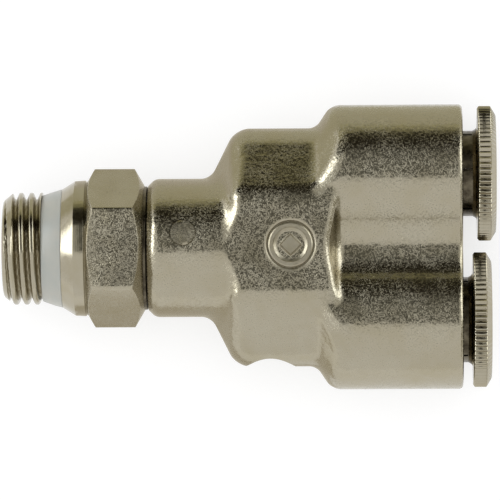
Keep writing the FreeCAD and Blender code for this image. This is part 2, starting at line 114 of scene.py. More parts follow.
def lathe(name, profile, angles, centre=(0.0, 0.0, 0.0), axis=(1.0, 0.0, 0.0)):
    """Turns a closed profile about an axis through the centre.

    profile(angle) gives an array of (along, r) rows, as many at every angle.
    """
    columns = [profile(angle) for angle in angles]
    count = len(columns[0])
    points = np.empty((count, len(angles), 3))
    for index, (angle, column) in enumerate(zip(angles, columns)):
        points[:, index, 0] = column[:, 0]
        points[:, index, 1] = column[:, 1] * math.cos(angle)
        points[:, index, 2] = column[:, 1] * math.sin(angle)
    turn = Vector((1, 0, 0)).rotation_difference(Vector(axis)).to_matrix()
    points = points.reshape(-1, 3) @ np.array(turn).T + np.array(centre)
    return link_mesh(name, points, ring_faces(count, len(angles)))


def eased(corners, steps=4, share=0.48):
    """Rounds a closed outline. Each corner is (x, r, radius of its rounding).

    A rounding takes at most the given share of the sides next to it.
    """
    points = []
    count = len(corners)
    for index, (x, r, radius) in enumerate(corners):
        here = np.array((x, r))
        before = np.array(corners[index - 1][:2]) - here
        after = np.array(corners[(index + 1) % count][:2]) - here
        if radius <= 0:
            points.append(here)
            continue
        back = before / np.linalg.norm(before)
        ahead = after / np.linalg.norm(after)
        half = math.acos(float(np.clip(back @ ahead, -1, 1))) / 2
        reach = min(radius / math.tan(half),
                    share * np.linalg.norm(before), share * np.linalg.norm(after))
        start = here + back * reach
        end = here + ahead * reach
        for step in range(steps + 1):
            part = step / steps
            points.append((1 - part) ** 2 * start + 2 * part * (1 - part) * here
                          + part ** 2 * end)
    return np.array(points)


def carve(target, cutters):
    """Cuts closed meshes out of a piece and leaves a plain mesh."""
    for cutter in cutters:
        cut = target.modifiers.new("cut", "BOOLEAN")
        cut.operation = "DIFFERENCE"
        cut.solver = "MANIFOLD"
        cut.object = cutter
    depsgraph = bpy.context.evaluated_depsgraph_get()
    result = bpy.data.meshes.new_from_object(target.evaluated_get(depsgraph))
    target.modifiers.clear()
    old = target.data
    target.data = result
    bpy.data.meshes.remove(old)
    for cutter in cutters:
        bpy.data.objects.remove(cutter)
    return target


def drill_bit(radius, start, end, around=96):
    """A closed cylinder between two millimetre points, to cut with."""
    start = Vector(start)
    along = Vector(end) - start
    turn = Vector((1, 0, 0)).rotation_difference(along.normalized()).to_matrix()
    points = []
    for reach in (0.0, along.length):
        for index in range(around):
            angle = 2 * math.pi * index / around
            local = Vector((reach, radius * math.cos(angle), radius * math.sin(angle)))
            points.append(start + turn @ local)
    faces = [list(reversed(range(around))), list(range(around, 2 * around))]
    for index in range(around):
        after = (index + 1) % around
        faces.append([index, after, around + after, around + index])
    return link_mesh("drill_bit", [tuple(point) for point in points], faces)


# ---------------------------------------------------------------- forged outer shape
def round_both(a, b, radius):
    """Inside both a and b, with the corner between them rounded."""
    corner = np.hypot(np.maximum(a + radius, 0), np.maximum(b + radius, 0))
    return np.minimum(-radius, np.maximum(a, b)) + corner


def round_either(a, b, radius):
    """Inside a or b, with a fillet where they meet."""
    return -round_both(-a, -b, radius)


# the sections: half thickness, round neck, block with facets, twin ports
HALF = 6.0
NECK_RADIUS = 6.0
NECK_CHAMFER = 0.65
SIDE_CENTRE = 6.725
SIDE_RADIUS = 3.605
FACET = math.radians(36)
VALLEY_RADIUS = 3.75

# where the sections start, and how steeply one grows into the next
BLOCK_START = 16.75
SHOULDER_START = 23.70
VALLEY_FOOT = 25.60
NOSE_SLOPE = 2.0
VALLEY_SLOPE = 3.0
SHOULDER_SLOPE = 1.5
SHOULDER_EASE = 0.5
SHOULDER_HEIGHT = 4.5

# roundings of outer corners
FACET_ROUND = 0.6
NECK_BEVEL_ROUND = 0.25
NECK_FACE_ROUND = 0.08
NOSE_ROUND = 0.5
NOSE_ROUND_GAIN = 0.6
VALLEY_ROUND = 0.45
SHOULDER_ROUND = 0.65
MOUTH_ROUND = 0.35

# fillets of inner corners, and the depth below the flats where they change
NOSE_FILLET = 1.0
NOSE_FILLET_LOSS = 0.1
SHOULDER_FILLET = 0.50
FADE_DEPTH = 2.5

# how far each part runs into its neighbour
NECK_OVERLAP = 0.6
BLOCK_OVERLAP = 0.8
PORTS_OVERLAP = 2.0


def block_outline(y, z):
    """Distance to the block's section: flats, facets and round sides."""
    across = np.abs(y) - SIDE_CENTRE
    height = np.abs(z)
    side = np.hypot(across, height) - SIDE_RADIUS
    tangent_y = SIDE_CENTRE + SIDE_RADIUS * math.sin(FACET)
    tangent_z = SIDE_RADIUS * math.cos(FACET)
    facet = ((np.abs(y) - tangent_y) * math.sin(FACET)
             + (height - tangent_z) * math.cos(FACET))
    top = round_both(height - HALF, facet, FACET_ROUND)
    return np.where(height < across / math.tan(FACET), side, top)


def port_outline(y, z):
    """Distance to the twin ports' section: two circles and the valley between."""
    across = np.abs(y)
    height = np.abs(z)
    centre = math.sqrt((PORT_RADIUS + VALLEY_RADIUS) ** 2 - PORT_Y ** 2)
    circle = np.hypot(across - PORT_Y, height) - PORT_RADIUS
    valley = VALLEY_RADIUS - np.hypot(across, height - centre)
    between = (height < centre) & (across < (centre - height) * PORT_Y / centre)
    return np.where(between, valley, circle)


def slanted(section, slope, reach):
    """A face that a section sweeps as it grows by slope for each step along X."""
    return (section - slope * reach) / np.hypot(1.0, slope)


def forging(x, y, z):
    """Distance to the forged body before drilling, in millimetres."""
    block = block_outline(y, z)
    ports = port_outline(y, z)
    radius = np.hypot(y, z)

    neck = radius - NECK_RADIUS
    bevel = (radius - NECK_RADIUS + body_low[0] + NECK_CHAMFER - x) / math.sqrt(2)
    neck = round_both(neck, bevel, NECK_BEVEL_ROUND)
    neck = round_both(neck, body_low[0] - x, NECK_FACE_ROUND)
    neck = np.maximum(neck, x - BLOCK_START - NECK_OVERLAP)

    fade = np.clip((HALF - np.abs(z)) / FADE_DEPTH, 0.0, 1.0)
    nose = slanted(block, NOSE_SLOPE, x - BLOCK_START)
    valley_top = slanted(ports, VALLEY_SLOPE, VALLEY_FOOT - x)
    middle = round_both(block, nose, NOSE_ROUND + NOSE_ROUND_GAIN * fade)
    middle = round_both(middle, valley_top, VALLEY_ROUND)
    middle = np.maximum(middle, x - VALLEY_FOOT - BLOCK_OVERLAP)

    height = np.clip(np.abs(z) / SHOULDER_HEIGHT, 0.0, 1.0)
    shoulder = slanted(block, SHOULDER_SLOPE - SHOULDER_EASE * height, x - SHOULDER_START)
    twin = round_both(ports, shoulder, SHOULDER_ROUND)
    twin = np.maximum(twin, SHOULDER_START - PORTS_OVERLAP - x)
    twin = round_both(twin, x - body_high[0], MOUTH_ROUND)

    solid = round_either(neck, middle, NOSE_FILLET - NOSE_FILLET_LOSS * fade)
    solid = round_either(solid, twin, SHOULDER_FILLET)
    return np.maximum(solid, np.abs(z) - HALF)


def gradient(field, points, step=0.01):
    """Slope of a distance field at each point, by central differences."""
    slopes = []
    for axis in range(3):
        offset = np.zeros(3)
        offset[axis] = step
        ahead = field(*(points + offset).T)
        behind = field(*(points - offset).T)
        slopes.append((ahead - behind) / (2 * step))
    return np.stack(slopes, axis=-1)


def settle(field, points, rounds=2, least=0.05):
    """Moves points along the slope on to the surface where the field is zero.

    least keeps a step short where the field is nearly flat.
    """
    for _ in range(rounds):
        slope = gradient(field, points)
        length = np.maximum((slope ** 2).sum(axis=1, keepdims=True), least)
        points = points - field(*points.T)[:, None] * slope / length
    return points


def surface_net(name, field, low, high, cell, relax_rounds=2):
    """A closed quad mesh of the surface where the field is zero.

    Each cell that the surface crosses gets a point, and each crossed edge a quad.
    """
    lines = [np.arange(low[axis], high[axis] + cell, cell) for axis in range(3)]
    grid = np.meshgrid(*lines, indexing="ij", sparse=True)
    values = field(*grid)
    inside = values < 0
    size = [len(line) - 1 for line in lines]
    corners = [(i, j, k) for i in (0, 1) for j in (0, 1) for k in (0, 1)]

    def part(array, corner):
        return array[tuple(slice(c, c + n) for c, n in zip(corner, size))]

    filled = sum(part(inside, corner).astype(np.int8) for corner in corners)
    mixed = (filled > 0) & (filled < 8)
    cells = np.argwhere(mixed)
    total = np.zeros((len(cells), 3))
    hits = np.zeros(len(cells))
    for corner in corners:
        for axis in range(3):
            if corner[axis]:
                continue
            other = list(corner)
            other[axis] = 1
            first = values[tuple((cells + corner).T)]
            second = values[tuple((cells + other).T)]
            crossed = (first < 0) != (second < 0)
            share = np.where(crossed, first / np.where(crossed, first - second, 1), 0)
            place = np.tile(np.array(corner, float), (len(cells), 1))
            place[:, axis] = share
            total += place * crossed[:, None]
            hits += crossed
    start = np.array([line[0] for line in lines])
    points = start + (cells + total / hits[:, None]) * cell

    index = np.full(mixed.shape, -1)
    index[mixed] = np.arange(len(cells))
    quads = []
    for axis in range(3):
        u, v = (axis + 1) % 3, (axis + 2) % 3
        lower = [slice(1, n) for n in size]
        lower[axis] = slice(0, size[axis])
        upper = list(lower)
        upper[axis] = slice(1, size[axis] + 1)
        a, b = inside[tuple(lower)], inside[tuple(upper)]
        for crossing, outward in ((a & ~b, True), (~a & b, False)):
            at = np.argwhere(crossing)
            at[:, u] += 1
            at[:, v] += 1
            around = []
            for du, dv in ((-1, -1), (0, -1), (0, 0), (-1, 0)):
                cell_at = at.copy()
                cell_at[:, u] += du
                cell_at[:, v] += dv
                around.append(index[tuple(cell_at.T)])
            quad = np.stack(around, axis=-1)
            quads.append(quad if outward else quad[:, ::-1])
    quads = np.concatenate(quads)

    for _ in range(relax_rounds):
        middle = points[quads].mean(axis=1)
        total = np.zeros_like(points)
        hits = np.zeros(len(points))
        for column in range(4):
            np.add.at(total, quads[:, column], middle)
            np.add.at(hits, quads[:, column], 1)
        points = 0.5 * points + 0.5 * total / hits[:, None]
        points = settle(field, points)
    return link_mesh(name, points, quads.tolist())


# ---------------------------------------------------------------- badge, pins, drillings
BADGE_X = 21.57
BADGE_Y = 0.25
BADGE_LINE = 2.00
BADGE_OUTER = BADGE_LINE + 0.30
BADGE_DEPTH = 0.22
BADGE_SHOULDER = 0.07
BADGE_RAISE = 0.03
POCKET_RADIUS = 1.52
DIAMOND = 0.80

PIN_X = 12.30
PIN_TILT = math.radians(13.0)
PIN_RADIUS = 1.14
PIN_SINK = 0.03
PIN_FOOT = 4.2
PIN_HOLE_GAP = 0.02
PIN_HOLE_ENDS = (3.0, 7.0)

SWIVEL_BORE = 4.05
SWIVEL_BORE_END = 18.60
FLOW_BORE = 2.30
CROSS_X = 19.74
CROSS_BORE = 2.16
CROSS_BORE_TOP = 8.0
BRANCH_BORE = 2.00
SOCKET_X = 22.50
SOCKET_BORE = 3.05
SEAT_X = 28.60
PORT_BORE = 4.90


def pin_way(turn):
    """Direction of a retaining pin, outwards from the swivel axis."""
    return Vector((0, math.sin(PIN_TILT + turn), math.cos(PIN_TILT + turn)))


def body_cutters():
    """The swivel bore, the flow and cross bores, then each port's steps and the pin holes."""
    clear = 1.0
    overlap = 0.1
    fine = 128
    outside = (CROSS_X, -15.0, 0)
    bits = [
        drill_bit(SWIVEL_BORE, (body_low[0] - clear, 0, 0), (SWIVEL_BORE_END, 0, 0), fine),
        drill_bit(FLOW_BORE, (SPIGOT_END, 0, 0), (CROSS_X, 0, 0)),
        drill_bit(CROSS_BORE, (CROSS_X, CROSS_BORE_TOP, 0), outside),
    ]
    for side in (1, -1):
        y = side * PORT_Y
        bits.append(drill_bit(BRANCH_BORE, (CROSS_X, y, 0), (SOCKET_X + overlap, y, 0)))
        bits.append(drill_bit(SOCKET_BORE, (SOCKET_X, y, 0), (SEAT_X + overlap, y, 0)))
        bits.append(drill_bit(PORT_BORE, (SEAT_X, y, 0), (body_high[0] + clear, y, 0), fine))
    middle = Vector((PIN_X, 0, 0))
    for turn in (0.0, math.pi):
        start, end = [middle + pin_way(turn) * reach for reach in PIN_HOLE_ENDS]
        bits.append(drill_bit(PIN_RADIUS + PIN_HOLE_GAP, start, end, 64))
    return bits


def badge_cutters():
    """A sunk ring, and inside it a round pocket with a plain diamond left standing."""
    above = HALF + 1.0
    top = HALF + BADGE_RAISE
    shoulder = HALF - BADGE_SHOULDER
    bottom = HALF - BADGE_DEPTH
    around = np.linspace(0, 2 * math.pi, 96, endpoint=False)
    crease = 0.02
    inner = BADGE_LINE - 0.24
    groove = eased([
        (top, BADGE_OUTER, 0.0),
        (shoulder, BADGE_LINE + 0.09, 0.08),
        (bottom, BADGE_LINE + crease, crease),
        (bottom, BADGE_LINE - crease, crease),
        (shoulder, BADGE_LINE - 0.08, 0.08),
        (top, inner, 0.0),
        (above, inner, 0.0),
        (above, BADGE_OUTER, 0.0),
    ])
    lip = POCKET_RADIUS + 0.02
    edge_round = 0.05
    wall_foot = POCKET_RADIUS - 0.30
    diamond_flare = 0.20

    def pocket(angle):
        diamond = DIAMOND / (abs(math.cos(angle)) + abs(math.sin(angle)))
        return eased([
            (top, lip, 0.0),
            (shoulder, POCKET_RADIUS - 0.06, edge_round),
            (bottom, wall_foot, 0.20),
            (bottom, diamond + diamond_flare, 0.12),
            (shoulder, diamond + 0.05, edge_round),
            (top, diamond, 0.0),
            (above, diamond, 0.0),
            (above, lip, 0.0),
        ])

    centre = (BADGE_X, BADGE_Y, 0.0)
    up = (0.0, 0.0, 1.0)
    return [lathe("badge_groove", lambda angle: groove, around, centre, up),
            lathe("badge_pocket", pocket, around, centre, up)]


def build_pin(name, turn):
    """A pressed-in pin, its outer end dressed down to the round of the neck."""
    face = NECK_RADIUS - PIN_SINK
    rim = PIN_RADIUS - 0.07
    rim_drop = 0.08
    foot_bevel = 0.15
    core = 0.02

    def outline(angle):
        reach = [rim * part for part in (1.0, 0.75, 0.5, 0.25, core)]
        crown = [(math.sqrt(face ** 2 - (r * math.cos(angle)) ** 2), r) for r in reach]
        edge = crown[0][0] - rim_drop
        foot = [(PIN_FOOT, core), (PIN_FOOT, PIN_RADIUS - foot_bevel),
                (PIN_FOOT + foot_bevel, PIN_RADIUS)]
        return np.array([(edge, PIN_RADIUS)] + crown + foot)[::-1]

    angles = np.linspace(0, 2 * math.pi, 72, endpoint=False)
    return smooth(lathe(name, outline, angles, (PIN_X, 0.0, 0.0), pin_way(turn)), 40.0)


def build_body():
    """The forging, drilled and stamped."""
    margin = 0.4
    low = body_low - margin
    high = body_high + margin
    cell = 0.15
    body = surface_net("forged_body", forging, low, high, cell)
    carve(body, body_cutters() + badge_cutters())
    return smooth(body, 30.0)


def in_badge(face):
    """Whether a face of the body lies in the stamped badge, outside its rough pocket."""
    across = math.hypot(face.center.x / MM - BADGE_X, face.center.y / MM - BADGE_Y)
    bottom = HALF - BADGE_DEPTH
    height = face.center.z / MM
    on_floor = height < bottom + 0.01
    in_reach = height > bottom - 0.1 and across < BADGE_OUTER
    return in_reach and not (on_floor and across < POCKET_RADIUS)


# ---------------------------------------------------------------- stem
CREST = 4.864
ROOT = 4.283
PITCH = 0.907
THREAD_PHASE = 0.055
THREAD_WEAR = 4.0
TIP_RADIUS = 4.15
TIP_SLOPE = 0.80
THREAD_NECK = 4.10
COLLAR_START = 1.74
COLLAR_RADIUS = 5.90
HEX_START = 3.98
HEX_END = 8.84
HEX_FACE = 5.40
HEX_BEVEL = math.radians(30)
WASHER_RADIUS = 5.35
WASHER_GAP = 0.05
SPIGOT_RADIUS = 4.00
SPIGOT_END = 18.00
PIN_GROOVE = (11.05, 13.55, 3.45)
SEAL_GROOVE = (15.10, 16.60, 3.15)


def thread_radius(x, angle):
    """Right-hand thread with broad worn crests, chamfered at the tip."""
    turn = x / PITCH - angle / (2 * math.pi) + THREAD_PHASE
    rise = 1 - np.abs(np.sin(math.pi * turn)) ** THREAD_WEAR
    limit = TIP_RADIUS + TIP_SLOPE * (x - stem_low[0])
    return np.minimum(ROOT + (CREST - ROOT) * rise, limit)


def hexagon_radius(angle, flats=12.0, rounding=0.35):
    """Radius of a hexagon at an angle, two flats facing Z and the corners rounded."""
    from_corner = (angle + math.pi / 6) % (math.pi / 3) - math.pi / 6
    centre = (flats / 2 - rounding) / math.cos(math.pi / 6)
    aside = centre * math.sin(from_corner)
    flat = flats / 2 / math.cos(math.pi / 6 - abs(from_corner))
    tangent = math.atan2(rounding / 2, centre + rounding * math.cos(math.pi / 6))
    if abs(from_corner) > tangent:
        return flat
    return centre * math.cos(from_corner) + math.sqrt(rounding ** 2 - aside ** 2)


def stem_profile(angle):
    """Outline of the stem at one angle: thread, collar, hexagon and spigot."""
    hexagon = hexagon_radius(angle)
    slope = math.tan(HEX_BEVEL)
    tip = stem_low[0]
    thread_x = np.linspace(tip + 0.12, -0.02, 96)
    thread = np.stack([thread_x, thread_radius(thread_x, angle)], axis=-1)
    mouth = np.array([
        (tip + 0.45, FLOW_BORE),
        (tip + 0.05, 2.62),
        (tip, 2.72),
        (tip, 3.98),
        (tip + 0.03, 4.10),
    ])
    start_x = HEX_START + (hexagon - COLLAR_RADIUS) * slope
    end_x = HEX_END - (hexagon - HEX_FACE) * slope
    washer_end = body_low[0] - WASHER_GAP
    pin_start, pin_end, pin_radius = PIN_GROOVE
    seal_start, seal_end, seal_radius = SEAL_GROOVE
    bevel = 0.40
    rest = eased([
        (-0.01, THREAD_NECK, 0.0),
        (COLLAR_START, THREAD_NECK, 0.0),
        (COLLAR_START, 5.16, 0.06),
        (2.84, 5.84, 0.12),
        (3.74, 5.89, 0.04),
        (3.84, 5.73, 0.03),
        (HEX_START, COLLAR_RADIUS, 0.03),
        (start_x, hexagon, 0.05),
        (end_x, hexagon, 0.05),
        (HEX_END, HEX_FACE, 0.03),
        (HEX_END + 0.02, WASHER_RADIUS, 0.0),
        (washer_end, WASHER_RADIUS, 0.06),
        (washer_end, SPIGOT_RADIUS, 0.05),
        (pin_start, SPIGOT_RADIUS, 0.0),
        (pin_start, pin_radius, 0.0),
        (pin_end, pin_radius, 0.0),
        (pin_end, SPIGOT_RADIUS, 0.0),
        (seal_start, SPIGOT_RADIUS, 0.0),
        (seal_start, seal_radius, 0.1),
        (seal_end, seal_radius, 0.1),
        (seal_end, SPIGOT_RADIUS, 0.0),
        (SPIGOT_END - bevel, SPIGOT_RADIUS, 0.0),
        (SPIGOT_END, SPIGOT_RADIUS - bevel, 0.0),
        (SPIGOT_END, FLOW_BORE, 0.05),
    ])
    return np.concatenate([mouth, thread, rest])


def stem_angles():
    """Even steps, with extra ones on both sides of each hexagon corner."""
    count = 180
    even = [2 * math.pi * index / count for index in range(count)]
    corners = []
    for corner in range(6):
        middle = corner * math.pi / 3
        for offset in (-1.45, -1.0, -0.5, 0.5, 1.0, 1.45):
            corners.append((middle + math.radians(offset)) % (2 * math.pi))
    return sorted(set(even + corners))


def build_stem():
    """The stem from the thread's tip to the end of the spigot, in one turned piece."""
    return smooth(lathe("threaded_stem", stem_profile, stem_angles()), 22.0)


def on_hexagon(face):
    """Whether a face of the stem lies on the hexagon."""
    radius = math.hypot(face.center.y, face.center.z) / MM
    return HEX_START < face.center.x / MM < HEX_END and radius > HEX_FACE


# ---------------------------------------------------------------- seal ring
def build_seal():
    """The sealing ring, swelling from the thread towards the collar."""
    outline = eased([
        (seal_low[0], THREAD_NECK, 0.0),
        (seal_low[0], 4.60, 0.10),
        (0.85, 4.90, 1.5),
        (seal_high[0], 5.15, 0.08),
        (seal_high[0], THREAD_NECK, 0.0),
    ])
    angles = np.linspace(0, 2 * math.pi, 160, endpoint=False)
    return smooth(lathe("white_seal_ring", lambda angle: outline, angles), 40.0)


# ---------------------------------------------------------------- collets
TEETH = 76
TOOTH_STEPS = 8
TOOTH_DEPTH = 0.17
COLLET_BORE = 3.10
FINGER_RADIUS = 4.40
COLLET_NECK = 3.70
RING_START = 4.45
RING_WIDTH = 1.60
RING_RADIUS = 5.84
RING_SHOULDER = 5.80
SLOT_COUNT = 3
SLOT_FIRST = 86
SLOT_STEP = 60


def collet_outline(tip):
    """Outline of a collet whose fingers start at tip, and where its ring starts and ends."""
    ring = tip + RING_START
    back = ring + RING_WIDTH
    corners = [
        (tip, COLLET_BORE, 0.0),
        (tip, 4.10, 0.0),
        (tip + 0.30, FINGER_RADIUS, 0.1),
        (tip + 0.95, FINGER_RADIUS, 0.1),
        (tip + 1.85, COLLET_NECK, 0.2),
        (ring - 0.42, COLLET_NECK, 0.0),
        (ring - 0.12, 3.86, 0.3),
        (ring, 4.15, 0.1),
        (ring, 5.66, 0.0),
        (ring + 0.10, RING_SHOULDER, 0.06),
        (ring + 0.16, RING_RADIUS, 0.0),
        (back - 0.50, RING_RADIUS, 0.0),
        (back - 0.44, RING_SHOULDER, 0.06),
        (back, 5.06, 0.08),
        (back, 3.62, 0.12),
        (back - 0.5, COLLET_BORE, 0.1),
        (tip + 0.60, COLLET_BORE, 0.0),
        (tip + 0.30, 2.88, 0.0),
        (tip + 0.20, COLLET_BORE, 0.0),
    ]
    return eased(corners), ring, back


def build_collet(node, name):
    """A release ring with a knurled rim and slotted gripping fingers."""
    low, high = box_mm(node)
    side = 1 if low[1] + high[1] > 0 else -1
    outline, ring, back = collet_outline(low[0])
    on_rim = outline[:, 1] > 5.5
    knurled = on_rim & (outline[:, 0] < back - 0.40)

    def profile(angle):
        phase = (angle * TEETH / (2 * math.pi)) % 1.0
        groove = 0.5 + 0.5 * math.cos(2 * math.pi * phase)
        column = outline.copy()
        column[knurled, 1] -= TOOTH_DEPTH * groove
        return column

    count = TEETH * TOOTH_STEPS
    angles = np.arange(count) * 2 * math.pi / count
    collet = lathe(name, profile, angles, (0.0, side * PORT_Y, 0.0))
    slot_start = low[0] - 0.5
    slot_end = ring - 0.45
    turns = [math.radians(SLOT_FIRST + SLOT_STEP * index) for index in range(SLOT_COUNT)]
    carve(collet, [slot_cutter(slot_start, slot_end, side * PORT_Y, turn) for turn in turns])
    return smooth(collet, 28.0)


def slot_cutter(x_from, x_to, y, angle, width=0.25, reach=5.2):
    """A thin slab through a collet's axis."""
    across = Vector((0, math.cos(angle), math.sin(angle)))
    thick = Vector((0, -math.sin(angle), math.cos(angle)))
    points = []
    for x in (x_from, x_to):
        for far, near in ((-1, -1), (1, -1), (1, 1), (-1, 1)):
            point = Vector((x, y, 0)) + across * reach * far + thick * width / 2 * near
            points.append(tuple(point))
    faces = [[3, 2, 1, 0], [4, 5, 6, 7]]
    for index in range(4):
        after = (index + 1) % 4
        faces.append([index, after, 4 + after, 4 + index])
    return link_mesh("slot_cutter", points, faces)


# ---------------------------------------------------------------- materials
class Paint:
    """A node material. Patterns are worked out in millimetres from the object's own space."""

    def __init__(self, name, colour, rough, metal=1.0):
        self.material = bpy.data.materials.new(name)
        self.material.use_nodes = True
        self.tree = self.material.node_tree
        self.shader = self.tree.nodes["Principled BSDF"]
        self.shader.inputs["Base Color"].default_value = (*colour, 1)
        self.shader.inputs["Roughness"].default_value = rough
        self.shader.inputs["Metallic"].default_value = metal
        place = self.tree.nodes.new("ShaderNodeTexCoord")
        scale = self.tree.nodes.new("ShaderNodeMapping")
        scale.inputs["Scale"].default_value = (1 / MM,) * 3
        self.tree.links.new(place.outputs["Object"], scale.inputs["Vector"])
        self.millimetres = scale.outputs["Vector"]
        self.normal = None

    def link(self, source, target):
        self.tree.links.new(source, target)

    def stretched(self, per_mm, turn=(0.0, 0.0, 0.0)):
        """Coordinates turned first, and then stretched along the turned axes."""
        mapping = self.tree.nodes.new("ShaderNodeMapping")
        mapping.vector_type = "TEXTURE"
        mapping.inputs["Scale"].default_value = [1 / part for part in per_mm]
        mapping.inputs["Rotation"].default_value = turn
        self.link(self.millimetres, mapping.inputs["Vector"])
        return mapping.outputs["Vector"]

    def noise(self, per_mm, detail=2.0, rough=0.5, vector=None, distortion=0.0):
        node = self.tree.nodes.new("ShaderNodeTexNoise")
        node.inputs["Scale"].default_value = per_mm
        node.inputs["Detail"].default_value = detail
        node.inputs["Roughness"].default_value = rough
        node.inputs["Distortion"].default_value = distortion
        self.link(vector or self.millimetres, node.inputs["Vector"])
        return node.outputs["Fac"]

    def dents(self, per_mm, vector=None, feature="SMOOTH_F1"):
        node = self.tree.nodes.new("ShaderNodeTexVoronoi")
        node.feature = feature
        node.inputs["Scale"].default_value = per_mm
        self.link(vector or self.millimetres, node.inputs["Vector"])
        return node.outputs["Distance"]

    def flecks(self, size=0.70):
        """Short strokes in four directions, 1 on a stroke and 0 between them."""
        strokes = None
        per_mm = [part / size for part in (2.4, 9.0, 5.0)]
        lean = 0.3
        for turn in (0.4, 1.2, 2.0, 2.8):
            vector = self.stretched(per_mm, (lean, 0.0, turn))
            stroke = self.ramp(self.noise(1.0, 1.0, 0.5, vector), (0.61, 0.0), (0.70, 1.0))
            strokes = stroke if strokes is None else self.math("MAXIMUM", strokes, stroke)
        patches = self.ramp(self.noise(0.35, 1.0), (0.38, 0.55), (0.60, 1.0))
        return self.math("MULTIPLY", strokes, patches)

    def ramp(self, source, *stops):
        """Maps a 0-1 pattern to colours or grey values given as (place, value)."""
        node = self.tree.nodes.new("ShaderNodeValToRGB")
        points = node.color_ramp.elements
        while len(points) < len(stops):
            points.new(0.5)
        for point, (position, value) in zip(points, stops):
            colour = value if isinstance(value, tuple) else (value,) * 3
            point.position = position
            point.color = (*colour, 1)
        self.link(source, node.inputs["Fac"])
        return node.outputs["Color"]

    def math(self, operation, first, second):
        node = self.tree.nodes.new("ShaderNodeMath")
        node.operation = operation
        for socket, value in zip(node.inputs, (first, second)):
            if isinstance(value, (int, float)):
                socket.default_value = value
            else:
                self.link(value, socket)
        return node.outputs[0]

    def bump(self, height, depth_mm, strength=1.0):
        """Adds relief on top of what is there already."""
        node = self.tree.nodes.new("ShaderNodeBump")
        node.inputs["Strength"].default_value = strength
        node.inputs["Distance"].default_value = depth_mm * MM
        self.link(height, node.inputs["Height"])
        if self.normal is not None:
            self.link(self.normal, node.inputs["Normal"])
        self.normal = node.outputs["Normal"]
        self.link(self.normal, self.shader.inputs["Normal"])

    def colour_from(self, source):
        self.link(source, self.shader.inputs["Base Color"])

    def rough_from(self, source):
        self.link(source, self.shader.inputs["Roughness"])


NICKEL = (0.385, 0.350, 0.265)
NICKEL_WARM = (0.365, 0.328, 0.235)
NICKEL_COOL = (0.400, 0.368, 0.285)
# painted shade: dark tones standing in for the shade on the collet necks and the washer face
GAP_SHADE_DARK = (0.060, 0.050, 0.034)
GAP_SHADE_LIGHT = (0.160, 0.138, 0.095)
BRASS_DARK = (0.46, 0.38, 0.22)
BRASS_LIGHT = (0.56, 0.49, 0.32)


def nickel_tones(paint, per_mm):
    """Slow changes of tone over the plating."""
    mottle = paint.noise(per_mm, 3.0, 0.6)
    paint.colour_from(paint.ramp(
        mottle, (0.30, NICKEL_WARM), (0.52, NICKEL), (0.72, NICKEL_COOL)))


def forged_nickel():
    """Forged, tumbled and plated: fine dents all over and a few short scratches."""
    paint = Paint("forged_nickel", NICKEL, 0.22)
    nickel_tones(paint, 0.35)
    paint.bump(paint.noise(3.0, 1.0, 0.5), 0.012)
    paint.bump(paint.dents(3.0), 0.008)
    flecks = paint.flecks()
    paint.bump(flecks, 0.006)
    paint.rough_from(paint.ramp(flecks, (0.0, 0.13), (1.0, 0.41)))
    return paint.material


def turned_nickel():
    """Turned and plated: faint tool marks round the axis."""
    paint = Paint("turned_nickel", NICKEL, 0.15)
    nickel_tones(paint, 0.5)
    rings = paint.noise(1.0, 2.0, 0.5, paint.stretched((14.0, 0.25, 0.25)))
    paint.bump(rings, 0.004)
    paint.bump(paint.noise(2.5, 2.0, 0.5), 0.004)
    paint.rough_from(paint.ramp(paint.noise(2.0, 3.0, 0.6), (0.35, 0.12), (0.70, 0.24)))
    return paint.material


def hexagon_nickel():
    """Drawn bar: faint lines along the axis, knocked all over in tumbling."""
    paint = Paint("hexagon_nickel", NICKEL, 0.15)
    nickel_tones(paint, 0.5)
    drawn = paint.noise(1.0, 2.0, 0.5, paint.stretched((0.4, 9.0, 9.0)))
    paint.bump(drawn, 0.003)
    paint.bump(paint.noise(4.0, 1.0, 0.5), 0.006)
    flecks = paint.flecks(0.58)
    paint.bump(flecks, 0.008)
    paint.rough_from(paint.ramp(flecks, (0.0, 0.12), (1.0, 0.42)))
    return paint.material


def painted_gap_shade():
    """Painted shade: a dark metal colour for surfaces that lie in shaded gaps, the collet
    necks and the washer face.
    """
    paint = Paint("painted_gap_shade", (0.11, 0.09, 0.06), 0.3)
    paint.colour_from(paint.ramp(
        paint.noise(1.2, 3.0), (0.35, GAP_SHADE_DARK), (0.70, GAP_SHADE_LIGHT)))
    paint.bump(paint.noise(1.0, 2.0, 0.5, paint.stretched((9.0, 0.6, 0.6))), 0.006)
    paint.rough_from(paint.ramp(paint.noise(3.0, 2.0), (0.35, 0.22), (0.70, 0.42)))
    return paint.material


def badge_nickel():
    """Coined smooth by the stamp: only a soft grain."""
    paint = Paint("badge_nickel", NICKEL, 0.4)
    nickel_tones(paint, 0.8)
    paint.bump(paint.noise(5.0, 2.0, 0.5), 0.004)
    paint.rough_from(paint.ramp(paint.noise(4.0, 2.0, 0.6), (0.35, 0.34), (0.65, 0.48)))
    return paint.material


def pin_nickel():
    """Pin ends, dulled where they were dressed down."""
    paint = Paint("pin_nickel", NICKEL_COOL, 0.4)
    nickel_tones(paint, 1.2)
    paint.bump(paint.noise(4.0, 2.0, 0.6), 0.012)
    paint.rough_from(paint.ramp(paint.flecks(), (0.0, 0.26), (1.0, 0.50)))
    return paint.material


def inner_brass():
    """Bare turned brass of the parts inside the ports."""
    paint = Paint("inner_brass", (0.52, 0.44, 0.27), 0.3)
    rings = paint.noise(1.0, 2.0, 0.5, paint.stretched((10.0, 0.3, 0.3)))
    paint.bump(rings, 0.006)
    paint.colour_from(paint.ramp(
        paint.noise(0.8, 3.0), (0.3, BRASS_DARK), (0.7, BRASS_LIGHT)))
    paint.rough_from(paint.ramp(paint.noise(2.5), (0.3, 0.22), (0.7, 0.36)))
    return paint.material


